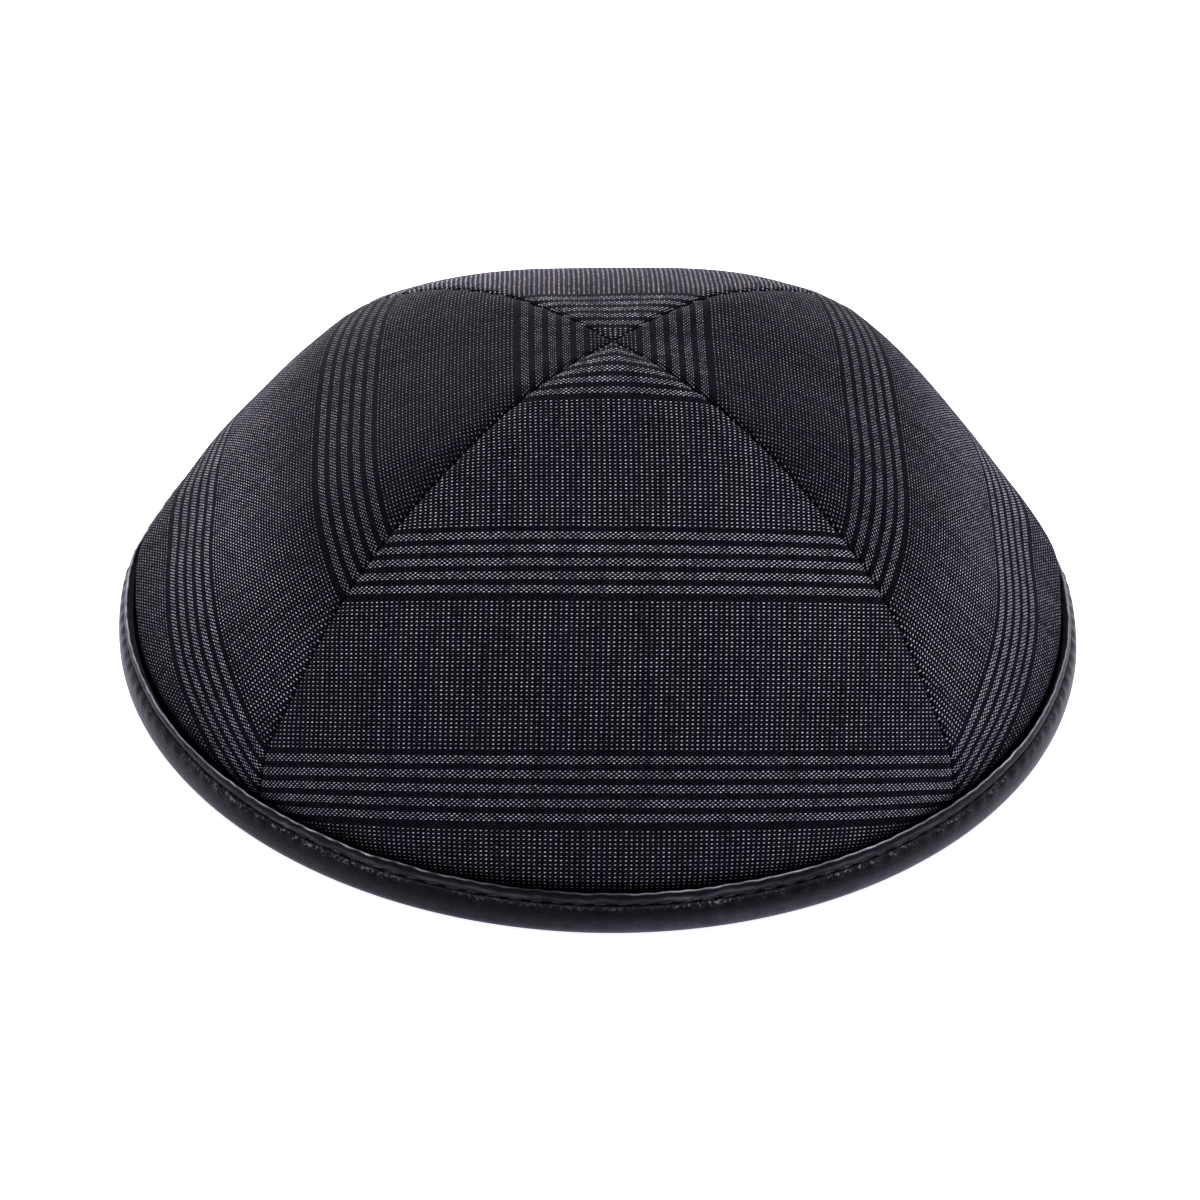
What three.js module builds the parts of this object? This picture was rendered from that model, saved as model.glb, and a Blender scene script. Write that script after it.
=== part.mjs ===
// Four panel cloth kippah with a bound leather rim.
// Millimetres, +Z up, the brow side faces -Y and the rim stands on Z = 0.
import * as THREE from "three";

// Driving dimensions
const RIM_RADIUS = 85;
const CROWN_HEIGHT = 60.8;
const CLOTH_THICKNESS = 1.6;
const PANEL_GAP = 0.3;
const BINDING_GAP = 0.35;
const BINDING_HEIGHT = 8.4;
const INNER_LEG_HEIGHT = 7.6;
const LEATHER_THICKNESS = 1.2;
const BINDING_BULGE_HEIGHT = 3.4;
const LIP_FLARE = 1;
const LIP_WIDTH = 0.9;
const LIP_OUTER_ROUND = 0.45;
const LIP_INNER_ROUND = 0.22;
const SLOT_FLOOR = 1.7;
const PANEL_FOOT = 3;
const LAND_CHAMFER = 1.3;
const LAND_SETBACK = 0.33;
const APEX_CLEARANCE = 0.3;

// The cap is a little wider from side to side than from front to back
const OVAL = { side: 1.007, front: 0.994 };

// How far the crown has settled to one side at its top
const LEAN = { right: 1.9, back: -0.7 };

// How much fuller the crown stands halfway down its back, and towards which compass angle
const FULLNESS = { reach: 2, compass: (75 * Math.PI) / 180 };

// Horizontal sections of the crown's outer face, from the top seam cross down to the panels' foot.
// middle: radius on a panel's centre line, height: above the table,
// corner: radius on a seam over the radius on a centre line (1 is a circle).
const SECTIONS = [
  { middle: 0, height: CROWN_HEIGHT, corner: 1.17 },
  { middle: 10, height: 60.5, corner: 1.175 },
  { middle: 21, height: 58.5, corner: 1.18 },
  { middle: 32, height: 54, corner: 1.178 },
  { middle: 42, height: 48.4, corner: 1.16 },
  { middle: 52, height: 41.4, corner: 1.14 },
  { middle: 61, height: 33.2, corner: 1.105 },
  { middle: 69.5, height: 23.8, corner: 1.07 },
  { middle: 76, height: 16.2, corner: 1.045 },
  { middle: 81, height: 9.8, corner: 1 },
  { middle: 83, height: PANEL_FOOT, corner: 1 },
];

// Panels: the compass direction of each centre line, in quarter turns from +X
const PANELS = [
  { name: "panel_right", quarter: 0 },
  { name: "panel_back", quarter: 1 },
  { name: "panel_left", quarter: 2 },
  { name: "panel_front", quarter: 3 },
];

// Mesh fineness
const STEPS_ACROSS = 18;
const STEPS_DOWN = 20;
const BINDING_STEPS = 4 * STEPS_ACROSS;
const BINDING_BULGE_STEPS = 2;
const SLOT_STEPS = 2;
const SEARCH_HALVINGS = 40;

const SEAM_ANGLE = Math.PI / 4;

const CLOTH = new THREE.MeshStandardMaterial({
  name: "woven cloth",
  color: 0x3a3942,
  roughness: 0.85,
  metalness: 0,
});
const LEATHER = new THREE.MeshStandardMaterial({
  name: "black leather",
  color: 0x16161b,
  roughness: 0.42,
  metalness: 0,
});

// Catmull-Rom tension of the meridian
const MERIDIAN_TENSION = 0.5;

// One smooth meridian through the sections: x is the middle radius, y the height, z the corner ratio
const meridian = new THREE.CatmullRomCurve3(
  SECTIONS.map((section) => new THREE.Vector3(section.middle, section.height, section.corner)),
  false,
  "catmullrom",
  MERIDIAN_TENSION,
);

// Exponent of the rounded square whose corner lies at the given ratio of its half width
function squareness(corner) {
  return 1 / (0.5 - Math.log2(corner));
}

// Radius of a section at an azimuth measured from a panel's centre line
function sectionRadius(middle, corner, azimuth) {
  const power = squareness(Math.max(corner, 1));
  const sides = Math.abs(Math.cos(azimuth)) ** power + Math.abs(Math.sin(azimuth)) ** power;
  return middle * sides ** (-1 / power);
}

// Point of the meridian at a place along it, moved inwards square to it by a depth
function meridianPoint(place, depth) {
  const section = meridian.getPoint(place);
  const along = meridian.getTangent(place);
  const slope = Math.hypot(along.x, along.y);
  return {
    middle: section.x + (depth * along.y) / slope,
    height: section.y - (depth * along.x) / slope,
    corner: section.z,
  };
}

// The middle radius of the cloth at a height near the rim, at a depth below its outer face
function clothRadiusAt(height, depth) {
  let above = 0;
  let below = 1;
  for (let halving = 0; halving < SEARCH_HALVINGS; halving += 1) {
    const place = (above + below) / 2;
    if (meridianPoint(place, depth).height > height) {
      above = place;
    } else {
      below = place;
    }
  }
  return meridianPoint((above + below) / 2, depth).middle;
}

// Point of a panel's face; across runs from -1 to 1 between its seams
function panelPoint(quarter, place, across, depth) {
  const section = meridianPoint(place, depth);
  const middle = Math.max(section.middle, APEX_CLEARANCE);
  const seamRadius = sectionRadius(middle, section.corner, SEAM_ANGLE);
  const azimuth = across * (SEAM_ANGLE - Math.asin(PANEL_GAP / 2 / seamRadius));
  const radius = sectionRadius(middle, section.corner, azimuth);
  const compass = azimuth + (quarter * Math.PI) / 2;
  const settled = Math.max(section.height / CROWN_HEIGHT, 0) ** 2;
  const facing = Math.max(Math.cos(compass - FULLNESS.compass), 0);
  const fuller = FULLNESS.reach * (facing * Math.sin(Math.PI * place)) ** 2;
  return [
    OVAL.side * radius * Math.cos(compass) + LEAN.right * settled + fuller * Math.cos(FULLNESS.compass),
    OVAL.front * radius * Math.sin(compass) + LEAN.back * settled + fuller * Math.sin(FULLNESS.compass),
    section.height,
  ];
}

// A closed shell between an outer and an inner grid of the same size
function shellGeometry(columns, rows, pointAt) {
  const positions = [];
  const faces = [];
  for (const depth of [0, CLOTH_THICKNESS]) {
    for (let row = 0; row <= rows; row += 1) {
      for (let column = 0; column <= columns; column += 1) {
        positions.push(...pointAt(column / columns, row / rows, depth));
      }
    }
  }
  const stride = columns + 1;
  const inner = stride * (rows + 1);
  const quad = (a, b, c, d) => faces.push(a, b, c, a, c, d);
  for (let row = 0; row < rows; row += 1) {
    for (let column = 0; column < columns; column += 1) {
      const here = row * stride + column;
      quad(here, here + stride, here + stride + 1, here + 1);
      quad(inner + here, inner + here + 1, inner + here + stride + 1, inner + here + stride);
    }
  }
  for (let row = 0; row < rows; row += 1) {
    const first = row * stride;
    const last = first + columns;
    quad(first, inner + first, inner + first + stride, first + stride);
    quad(last, last + stride, inner + last + stride, inner + last);
  }
  const foot = rows * stride;
  for (let column = 0; column < columns; column += 1) {
    quad(column, column + 1, inner + column + 1, inner + column);
    quad(foot + column, inner + foot + column, inner + foot + column + 1, foot + column + 1);
  }
  const geometry = new THREE.BufferGeometry();
  geometry.setAttribute("position", new THREE.Float32BufferAttribute(positions, 3));
  geometry.setIndex(faces);
  geometry.computeVertexNormals();
  return geometry;
}

// One cloth panel, a curved triangle from the top seam cross to its foot in the binding
function clothPanel({ name, quarter }) {
  const geometry = shellGeometry(STEPS_ACROSS, STEPS_DOWN, (across, down, depth) =>
    panelPoint(quarter, down, 2 * across - 1, depth),
  );
  const mesh = new THREE.Mesh(geometry, CLOTH);
  mesh.name = name;
  return mesh;
}

// Points down one wall of the slot that holds the panels' foot
function slotWall(depth, clearance, top) {
  const wall = [];
  for (let step = 0; step <= SLOT_STEPS; step += 1) {
    const height = top + ((PANEL_FOOT - top) * step) / SLOT_STEPS;
    wall.push(new THREE.Vector2(clothRadiusAt(height, depth) + clearance, height));
  }
  return wall;
}

// Section of the binding: a leather strip folded round the panels' foot, with a flat land below
function bindingOutline() {
  const outerWall = slotWall(0, BINDING_GAP, BINDING_HEIGHT);
  const innerWall = slotWall(CLOTH_THICKNESS, -BINDING_GAP, INNER_LEG_HEIGHT).reverse();
  const lipRadius = outerWall[0].x + LIP_FLARE;
  const innerFoot = innerWall[0].x - LEATHER_THICKNESS;
  const innerTop = innerWall[SLOT_STEPS].x - LEATHER_THICKNESS;
  const outline = new THREE.Path();
  outline.moveTo(innerFoot + LAND_CHAMFER, 0);
  outline.lineTo(RIM_RADIUS - LAND_CHAMFER, 0);
  outline.splineThru([
    new THREE.Vector2(RIM_RADIUS - LAND_SETBACK, LAND_CHAMFER),
    new THREE.Vector2(RIM_RADIUS, BINDING_BULGE_HEIGHT),
    new THREE.Vector2(lipRadius + LIP_WIDTH, BINDING_HEIGHT - LIP_OUTER_ROUND),
  ]);
  outline.lineTo(lipRadius + LIP_WIDTH - LIP_OUTER_ROUND, BINDING_HEIGHT);
  const wallPoints = [
    new THREE.Vector2(lipRadius, BINDING_HEIGHT - LIP_INNER_ROUND),
    ...outerWall.slice(1),
    new THREE.Vector2(outerWall[SLOT_STEPS].x, SLOT_FLOOR),
    new THREE.Vector2(innerWall[0].x, SLOT_FLOOR),
    ...innerWall,
    new THREE.Vector2(innerTop, INNER_LEG_HEIGHT),
    new THREE.Vector2(innerFoot, LAND_CHAMFER),
    new THREE.Vector2(innerFoot + LAND_CHAMFER, 0),
  ];
  for (const point of wallPoints) {
    outline.lineTo(point.x, point.y);
  }
  return outline.getPoints(BINDING_BULGE_STEPS);
}

// The binding, a full turn of its section
function rimBinding() {
  const geometry = new THREE.LatheGeometry(bindingOutline(), BINDING_STEPS);
  geometry.rotateX(Math.PI / 2);
  geometry.scale(OVAL.side, OVAL.front, 1);
  const mesh = new THREE.Mesh(geometry, LEATHER);
  mesh.name = "rim_binding";
  return mesh;
}

const kippah = new THREE.Group();
kippah.name = "kippah";
for (const panel of PANELS) {
  kippah.add(clothPanel(panel));
}
kippah.add(rimBinding());

export default kippah;
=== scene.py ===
"""Looks of a four panel cloth kippah with a bound leather rim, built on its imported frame.

The cap's lengths are in millimetres. A finish's depths are in metres, and what is per metre or per
millimetre scales a noise. A field named rise holds where an eased change starts and ends, and a
field named hump holds a middle and a reach.
"""

import logging
import math
from dataclasses import dataclass
from enum import Enum
from typing import Callable, Union

import bmesh
import bpy
from mathutils import Matrix, Vector, noise


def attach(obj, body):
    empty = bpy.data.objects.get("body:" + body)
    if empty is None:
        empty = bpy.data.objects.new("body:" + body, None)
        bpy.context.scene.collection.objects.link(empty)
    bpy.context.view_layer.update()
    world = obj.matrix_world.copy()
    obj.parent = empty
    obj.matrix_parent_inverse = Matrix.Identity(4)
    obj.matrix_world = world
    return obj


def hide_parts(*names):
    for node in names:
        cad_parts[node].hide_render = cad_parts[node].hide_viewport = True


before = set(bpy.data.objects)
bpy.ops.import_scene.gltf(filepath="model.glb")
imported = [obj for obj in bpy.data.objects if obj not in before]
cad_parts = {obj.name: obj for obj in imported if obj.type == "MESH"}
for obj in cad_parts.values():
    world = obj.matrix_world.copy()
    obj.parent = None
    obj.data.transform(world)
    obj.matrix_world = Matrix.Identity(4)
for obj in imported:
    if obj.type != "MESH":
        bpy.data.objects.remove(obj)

log = logging.getLogger("kippah")

# One millimetre and one centimetre, in the scene's metres
MM = 0.001
CM = 0.01

Colour = tuple[float, float, float]
Pair = tuple[float, float]


class Slot(Enum):
    """Names of a cloth and a leather material slot, which no piece here is given."""

    CLOTH = "cloth"
    LEATHER = "leather"


class PanelSide(Enum):
    """The four panels, by the compass quarter turn of their centre line from +X."""

    RIGHT = 0
    BACK = 1
    LEFT = 2
    FRONT = 3


# Smooth curves and small helpers


def catmull_rom(before: float, start: float, end: float, after: float, share: float) -> float:
    """Value of a smooth curve between two of four neighbouring values.

    Args:
        before: the value before the stretch.
        start: the value where the stretch starts.
        end: the value where it ends.
        after: the value after it.
        share: how far along the stretch, from 0 to 1.

    Returns:
        The curve's value there.
    """
    pull_in = (end - before) / 2
    pull_out = (after - start) / 2
    curve = 2 * (start - end) + pull_in + pull_out
    bend = 3 * (end - start) - 2 * pull_in - pull_out
    return ((curve * share + bend) * share + pull_in) * share + start


def smooth_step(low: float, high: float, value: float) -> float:
    """Share from 0 to 1, eased, of the way that value is from low to high."""
    share = min(max((value - low) / (high - low), 0.0), 1.0)
    return share * share * (3 - 2 * share)


def rising(share: float, low: float, high: float, value: float) -> float:
    """The share where value is below low, 1 above high, and an eased rise between them."""
    return share + (1 - share) * smooth_step(low, high, value)


def hump(middle: float, reach: float, value: float) -> float:
    """1 where value is at the middle, falling off smoothly on both sides within about the reach."""
    return math.exp(-(((value - middle) / reach) ** 2))


def wander(place: Vector, scale: float) -> float:
    """Smooth noise from about -1 to 1 at a point in millimetres, with lumps of the given size."""
    return noise.noise(place / scale)


def object_from(
    mesh: bmesh.types.BMesh, name: str, materials: list[bpy.types.Material],
) -> bpy.types.Object:
    """Make a shaded smooth object of a finished bmesh, with its place in its mesh.

    Args:
        mesh: the finished bmesh, which is freed.
        name: the object's name.
        materials: the materials in slot order.

    Returns:
        The new object, linked to the scene.
    """
    data = bpy.data.meshes.new(name)
    mesh.to_mesh(data)
    mesh.free()
    data.shade_smooth()
    for material in materials:
        data.materials.append(material)
    piece = bpy.data.objects.new(name, data)
    bpy.context.scene.collection.objects.link(piece)
    return piece


# Shader expressions


def operator(operation: str, reflected: bool = False) -> Callable[["Value", "Operand"], "Value"]:
    """Make the method of a shader value's operator, which adds a Math node.

    Args:
        operation: the node's operation.
        reflected: whether the value stands on the operator's right.

    Returns:
        The method.
    """

    def joined(self: "Value", other: "Operand") -> "Value":
        """This value and the other operand, joined in their order."""
        return self.recipe.math(operation, *((other, self) if reflected else (self, other)))

    return joined


@dataclass(frozen=True)
class Value:
    """A shader socket that Python arithmetic extends with Math nodes.

    A comparison gives 1 where it holds and else 0, and the remainder is never negative.
    """

    recipe: "Recipe"
    socket: bpy.types.NodeSocket

    __add__ = operator("ADD")
    __radd__ = operator("ADD", reflected=True)
    __sub__ = operator("SUBTRACT")
    __rsub__ = operator("SUBTRACT", reflected=True)
    __mul__ = operator("MULTIPLY")
    __rmul__ = operator("MULTIPLY", reflected=True)
    __truediv__ = operator("DIVIDE")
    __mod__ = operator("FLOORED_MODULO")
    __pow__ = operator("POWER")
    __lt__ = operator("LESS_THAN")
    __gt__ = operator("GREATER_THAN")

    def __abs__(self) -> "Value":
        """Distance from zero."""
        return self.recipe.math("ABSOLUTE", self)

    def floor(self) -> "Value":
        """The whole number below."""
        return self.recipe.math("FLOOR", self)

    def fraction(self) -> "Value":
        """What is over the whole number below."""
        return self.recipe.math("FRACT", self)

    def eased(self, low: float, high: float) -> "Value":
        """An eased fall from 1 to 0 between two values.

        Args:
            low: the value below which it is 1.
            high: the value above which it is 0.

        Returns:
            From 1 to 0.
        """
        settings = {"interpolation_type": "SMOOTHSTEP"}
        sockets = {"Value": self, "From Min": low, "From Max": high, "To Min": 1.0, "To Max": 0.0}
        return self.recipe.value("ShaderNodeMapRange", settings, sockets, "Result")


Operand = Union[Value, int, float]


class Recipe:
    """A material's node tree and the few ways of adding to it."""

    colour_mix_inputs = (0, 6, 7)
    colour_mix_output = 2

    def __init__(self, name: str) -> None:
        """Start a material with an empty tree.

        Args:
            name: the material's name.
        """
        self.material = bpy.data.materials.new(name)
        self.material.use_nodes = True
        self.tree = self.material.node_tree
        self.tree.nodes.clear()

    def node(self, kind: str, settings: dict, sockets: dict) -> bpy.types.Node:
        """Add one node.

        Args:
            kind: the node's type.
            settings: its settings, set first.
            sockets: values or links of its input sockets, by name or number.

        Returns:
            The node.
        """
        made = self.tree.nodes.new(kind)
        for setting, choice in settings.items():
            setattr(made, setting, choice)
        for key, given in sockets.items():
            socket = made.inputs[key]
            if isinstance(given, Value):
                self.tree.links.new(given.socket, socket)
            else:
                socket.default_value = given
        return made

    def value(self, kind: str, settings: dict, sockets: dict, output: Union[str, int] = 0) -> Value:
        """Add one node and take one of its outputs.

        Args:
            kind: the node's type.
            settings: its settings.
            sockets: values or links of its input sockets.
            output: the output's name or number.

        Returns:
            The output as a value.
        """
        return Value(self, self.node(kind, settings, sockets).outputs[output])

    def math(self, operation: str, *given: Operand) -> Value:
        """Add a Math node on numbers."""
        return self.value("ShaderNodeMath", {"operation": operation}, dict(enumerate(given)))

    def blend(self, share: Operand, first: Union[Value, Colour], second: Union[Value, Colour]) -> Value:
        """Mix two colours.

        Args:
            share: 0 for the first colour, 1 for the second.
            first: a colour or a colour socket.
            second: a colour or a colour socket.

        Returns:
            The mixed colour.
        """
        colours = [given if isinstance(given, Value) else (*given, 1.0) for given in (first, second)]
        sockets = dict(zip(self.colour_mix_inputs, [share, *colours]))
        return self.value("ShaderNodeMix", {"data_type": "RGBA"}, sockets, self.colour_mix_output)

    def split(self, vector: Value) -> tuple[Value, Value, Value]:
        """The three parts of a vector."""
        made = self.node("ShaderNodeSeparateXYZ", {}, {"Vector": vector})
        return tuple(Value(self, made.outputs[part]) for part in range(3))

    def join(self, x: Operand, y: Operand) -> Value:
        """A level vector of two parts."""
        return self.value("ShaderNodeCombineXYZ", {}, {"X": x, "Y": y})

    def object_place(self) -> Value:
        """The point in the object's own metres."""
        return self.value("ShaderNodeTexCoord", {}, {}, "Object")

    def chart(self, name: str) -> Value:
        """The point in the piece's own flat chart."""
        return self.value("ShaderNodeUVMap", {"uv_map": name}, {})

    def attribute(self, name: str) -> Value:
        """A number painted on the piece's points."""
        return self.value("ShaderNodeAttribute", {"attribute_name": name}, {}, "Fac")

    def cloud(self, place: Value, scale: float, detail: float = 2.0) -> Value:
        """Smooth noise from 0 to 1 with lumps of 1/scale."""
        sockets = {"Vector": place, "Scale": scale, "Detail": detail}
        return self.value("ShaderNodeTexNoise", {}, sockets, "Fac")

    def cells(self, place: Value, scale: float) -> Value:
        """Distance to the edge of the nearest of a crowd of cells of 1/scale."""
        settings, sockets = {"feature": "DISTANCE_TO_EDGE"}, {"Vector": place, "Scale": scale}
        return self.value("ShaderNodeTexVoronoi", settings, sockets, "Distance")

    def chance(self, place: Value) -> Value:
        """A random number from 0 to 1, the same all over each place."""
        settings = {"noise_dimensions": "2D"}
        return self.value("ShaderNodeTexWhiteNoise", settings, {"Vector": place}, "Value")

    def relief(
        self, height: Value, depth: float, strength: float, over: Union[Value, None] = None,
    ) -> Value:
        """A normal bent by a height.

        Args:
            height: the height, from 0 to 1.
            depth: metres that a height of 1 stands for.
            strength: how much of it shows.
            over: the normal that it lies on, or None for the face's own.

        Returns:
            The bent normal.
        """
        sockets = {"Height": height, "Distance": depth, "Strength": strength}
        if over is not None:
            sockets["Normal"] = over
        return self.value("ShaderNodeBump", {}, sockets, "Normal")

    def finish(self, sockets: dict) -> bpy.types.Material:
        """Close the recipe with a principled surface.

        Args:
            sockets: values or links of the surface's inputs.

        Returns:
            The material.
        """
        surface = self.value("ShaderNodeBsdfPrincipled", {}, sockets, "BSDF")
        self.node("ShaderNodeOutputMaterial", {}, {"Surface": surface})
        return self.material


# Finishes

WEAVE_CHART = "weave"
# Painted highlights and painted floor light on the leather.
PAINTED_HIGHLIGHT = "edge_wear"
CREASE_SHADE = "crease_shade"
# Painted shade on the cloth at the seams and the foot.
PAINTED_SHADE = "fold_shade"
# Painted light and shade on the cloth's dots.
PAINTED_LIGHT_TONE = "nap_tone"
# Painted glints beside the leather's crease.
CREASE_GLINT = "crease_glint"


@dataclass(frozen=True)
class NailheadCloth:
    """Dark suiting woven with pale nailhead dots and bands of closer-dotted stripes.

    The chart's X runs along the rows and Y down the panel's middle, both in millimetres.
    A lattice row is half a dot row; odd lattice rows are staggered by half a dot.
    """

    name: str = "nailhead_cloth"
    dot_pitch: float = 0.863
    row_height: float = 0.336
    dot_reach: float = 0.245
    dot_rise: float = 0.145
    dot_slant: float = -0.35
    band_start: float = 3.58
    repeat_rows: int = 112
    lead_rows: int = 4
    stripe_rows: int = 4
    stripe_period: int = 7
    stripe_count: int = 5
    trail_rows: int = 4
    ground: Colour = (0.0009, 0.0007, 0.0018)
    ground_blue: Colour = (0.0010, 0.0009, 0.0028)
    dot: Colour = (0.52, 0.485, 0.575)
    dot_blue: Colour = (0.46, 0.445, 0.59)
    speck: Colour = (0.0038, 0.0032, 0.0056)
    speck_stagger: Pair = (0.5, 0.25)
    dot_edge: Pair = (0.22, 1.02)
    blue_edge: Pair = (0.36, 0.5)
    hidden_dot: float = 0.045
    hidden_thread: float = 0.35
    plainest: float = 0.37
    faintest: float = 0.08
    by_dot: float = 0.58
    by_column: float = 0.85
    by_patch: float = 0.45
    column_stride: float = 7.31
    column_per_mm: float = 0.035
    blue_stride: float = 3.17
    blue_per_mm: float = 0.02
    patch_per_mm: float = 0.3
    relief_depth: float = 0.00012
    relief_strength: float = 0.7
    ground_roughness: float = 0.86
    dot_smoothness: float = 0.22

    def shown(self, row: Value) -> Value:
        """Where the weave brings its dots up: in a band's stripes, and on every other ground row.

        Args:
            row: the lattice row.

        Returns:
            1 where the dots are up, else 0.
        """
        in_repeat = row % self.repeat_rows
        stripes_end = self.lead_rows + self.stripe_period * (self.stripe_count - 1) + self.stripe_rows

        def between(first: int, end: int) -> Value:
            """1 from the first row of the repeat up to the row before the end."""
            return (in_repeat > first - 0.5) * (in_repeat < end - 0.5)

        in_band = between(1, stripes_end + self.trail_rows)
        in_stripes = between(self.lead_rows, stripes_end)
        of_stripe = ((in_repeat - self.lead_rows) % self.stripe_period) < self.stripe_rows - 0.5
        return in_stripes * of_stripe + (1 - in_band) * (1 - row % 2)

    def brightness(self, recipe: Recipe, along: Value, down: Value, column: Value, row: Value) -> Value:
        """How bright each dot is, by its luck, its warp end, its patch of cloth and the painted light
        and shade on its panel.

        Args:
            recipe: the material's recipe.
            along: millimetres along the row.
            down: millimetres down the panel.
            column: the dot's column.
            row: the dot's lattice row.

        Returns:
            The brightness.
        """
        luck = recipe.chance(recipe.join(column, row))
        end_place = recipe.join(column * self.column_stride, down * self.column_per_mm)
        warp_end = recipe.cloud(end_place, 1.0, 1.0)
        patch = recipe.cloud(recipe.join(along, down), self.patch_per_mm)
        bright = self.plainest + luck * luck * self.by_dot
        bright = bright + (warp_end - 0.5) * self.by_column + (patch - 0.5) * self.by_patch
        bright = recipe.math("MAXIMUM", recipe.math("MINIMUM", bright, 1.0), self.faintest)
        # Painted light and shade: each panel's dots are made brighter or darker by height and towards
        # its right.
        return bright * recipe.attribute(PAINTED_LIGHT_TONE)

    def make(self) -> bpy.types.Material:
        """Build the finish.

        Returns:
            The material.
        """
        recipe = Recipe(self.name)
        along, down, _ = recipe.split(recipe.chart(WEAVE_CHART))
        lattice = (down - self.band_start) / self.row_height
        row = lattice.floor()
        shown = self.shown(row)

        across = along / self.dot_pitch + row % 2 * 0.5
        column = across.floor()
        rise = lattice.fraction() - 0.5
        reach = across.fraction() - 0.5 - rise * (self.dot_slant * self.row_height / self.dot_pitch)
        sideways = reach * (self.dot_pitch / self.dot_reach)
        upright = rise * (self.row_height / self.dot_rise)
        float_mask = ((sideways * sideways + upright * upright) ** 0.5).eased(*self.dot_edge)

        # Painted shade: dots and specks fade to the dark ground along the seams and at the foot.
        unshaded = 1 - recipe.attribute(PAINTED_SHADE)
        dots = (shown + (1 - shown) * self.hidden_dot) * float_mask * unshaded
        tint_place = recipe.join(column * self.blue_stride, down * self.blue_per_mm)
        blueness = recipe.cloud(tint_place, 1.0, 0.0).eased(*self.blue_edge)
        thread_end = (along * (2 / self.dot_pitch)).floor()
        shift_along, shift_down = self.speck_stagger
        fleck = recipe.chance(recipe.join(thread_end + shift_along, row + shift_down))
        ground = recipe.blend(blueness, self.ground, self.ground_blue)
        specked = recipe.blend(fleck * fleck * (1 - dots) * unshaded, ground, self.speck)
        dot_colour = recipe.blend(blueness, self.dot, self.dot_blue)
        bright = self.brightness(recipe, along, down, column, row)
        threads = float_mask * (self.hidden_thread + shown * (1 - self.hidden_thread))
        return recipe.finish({
            "Base Color": recipe.blend(dots * bright, specked, dot_colour),
            "Roughness": self.ground_roughness - dots * self.dot_smoothness,
            "Normal": recipe.relief(threads, self.relief_depth, self.relief_strength),
            "Specular IOR Level": 0.012,
            "Sheen Weight": 0.009,
            "Sheen Roughness": 0.08,
            "Sheen Tint": (1.0, 0.93, 0.97, 1.0),
        })


@dataclass(frozen=True)
class InnerFace:
    """The cloth's plain dark back, seen inside the crown."""

    name: str = "cloth_back"
    colour: Colour = (0.008, 0.0075, 0.010)
    light: Colour = (0.020, 0.019, 0.024)
    thread: float = 0.45
    patch_per_mm: float = 0.6
    relief_depth: float = 0.00008
    relief_strength: float = 0.6
    roughness: float = 0.9
    ridge_smoothness: float = 0.1

    def make(self) -> bpy.types.Material:
        """Build the finish.

        Returns:
            The material.
        """
        recipe = Recipe(self.name)
        along, down, _ = recipe.split(recipe.chart(WEAVE_CHART))
        ridge = abs(((along + down) / self.thread).fraction() - 0.5) * 2
        patch = recipe.cloud(recipe.join(along, down), self.patch_per_mm)
        return recipe.finish({
            "Base Color": recipe.blend(ridge * patch, self.colour, self.light),
            "Roughness": self.roughness - ridge * self.ridge_smoothness,
            "Normal": recipe.relief(ridge, self.relief_depth, self.relief_strength),
            "Specular IOR Level": 0.15,
            "Sheen Weight": 0.02,
        })


@dataclass(frozen=True)
class BlackLeather:
    """Soft black leather with a fine grain and a low sheen, and painted highlights and glints on its
    edges and crease.
    """

    name: str = "black_leather"
    colour: Colour = (0.0008, 0.0008, 0.0016)
    bloom: Colour = (0.0013, 0.0013, 0.0027)
    # Colour of the painted highlights and the painted glints.
    worn: Colour = (0.57, 0.56, 0.68)
    grain_per_metre: float = 2400.0
    grain_edge: Pair = (0.0, 0.16)
    grain_depth: float = 0.00007
    grain_strength: float = 0.7
    fold_per_metre: float = 420.0
    fold_detail: float = 4.0
    fold_depth: float = 0.00015
    fold_strength: float = 0.09
    bloom_per_metre: float = 90.0
    ripple_per_metre: float = 1900.0
    ripple_edge: Pair = (0.50, 0.66)
    glint: float = 0.3
    least_highlight: float = 0.25
    highlight_by_fold: float = 1.5
    smoothest: float = 0.31
    rough_by_fold: float = 0.06
    rough_by_grain: float = 0.05
    rough_by_crease: float = 0.5

    def make(self) -> bpy.types.Material:
        """Build the finish.

        Returns:
            The material.
        """
        recipe = Recipe(self.name)
        place = recipe.object_place()
        pebbles = recipe.cells(place, self.grain_per_metre).eased(*self.grain_edge)
        folds = recipe.cloud(place, self.fold_per_metre, self.fold_detail)
        body = recipe.blend(recipe.cloud(place, self.bloom_per_metre), self.colour, self.bloom)
        ripple = 1 - recipe.cloud(place, self.ripple_per_metre).eased(*self.ripple_edge)
        # Painted glints on the puckers beside the crease, pale where the ripple noise is high.
        glints = recipe.attribute(CREASE_GLINT) * ripple * self.glint
        # Painted highlights, paler where the folds noise is high.
        highlighting = recipe.attribute(PAINTED_HIGHLIGHT) * (self.least_highlight + folds * folds * self.highlight_by_fold)
        roughness = self.smoothest + folds * self.rough_by_fold + pebbles * self.rough_by_grain
        coarse = recipe.relief(folds, self.fold_depth, self.fold_strength)
        return recipe.finish({
            "Base Color": recipe.blend(highlighting + glints, body, self.worn),
            "Roughness": roughness + recipe.attribute(CREASE_SHADE) * self.rough_by_crease,
            "Normal": recipe.relief(1 - pebbles, self.grain_depth, self.grain_strength, coarse),
            "Specular IOR Level": 0.056,
            "Specular Tint": (0.80, 0.78, 1.0, 1.0),
            "Sheen Weight": 0.025,
            "Sheen Roughness": 0.35,
            "Sheen Tint": (0.74, 0.70, 1.0, 1.0),
        })


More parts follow.
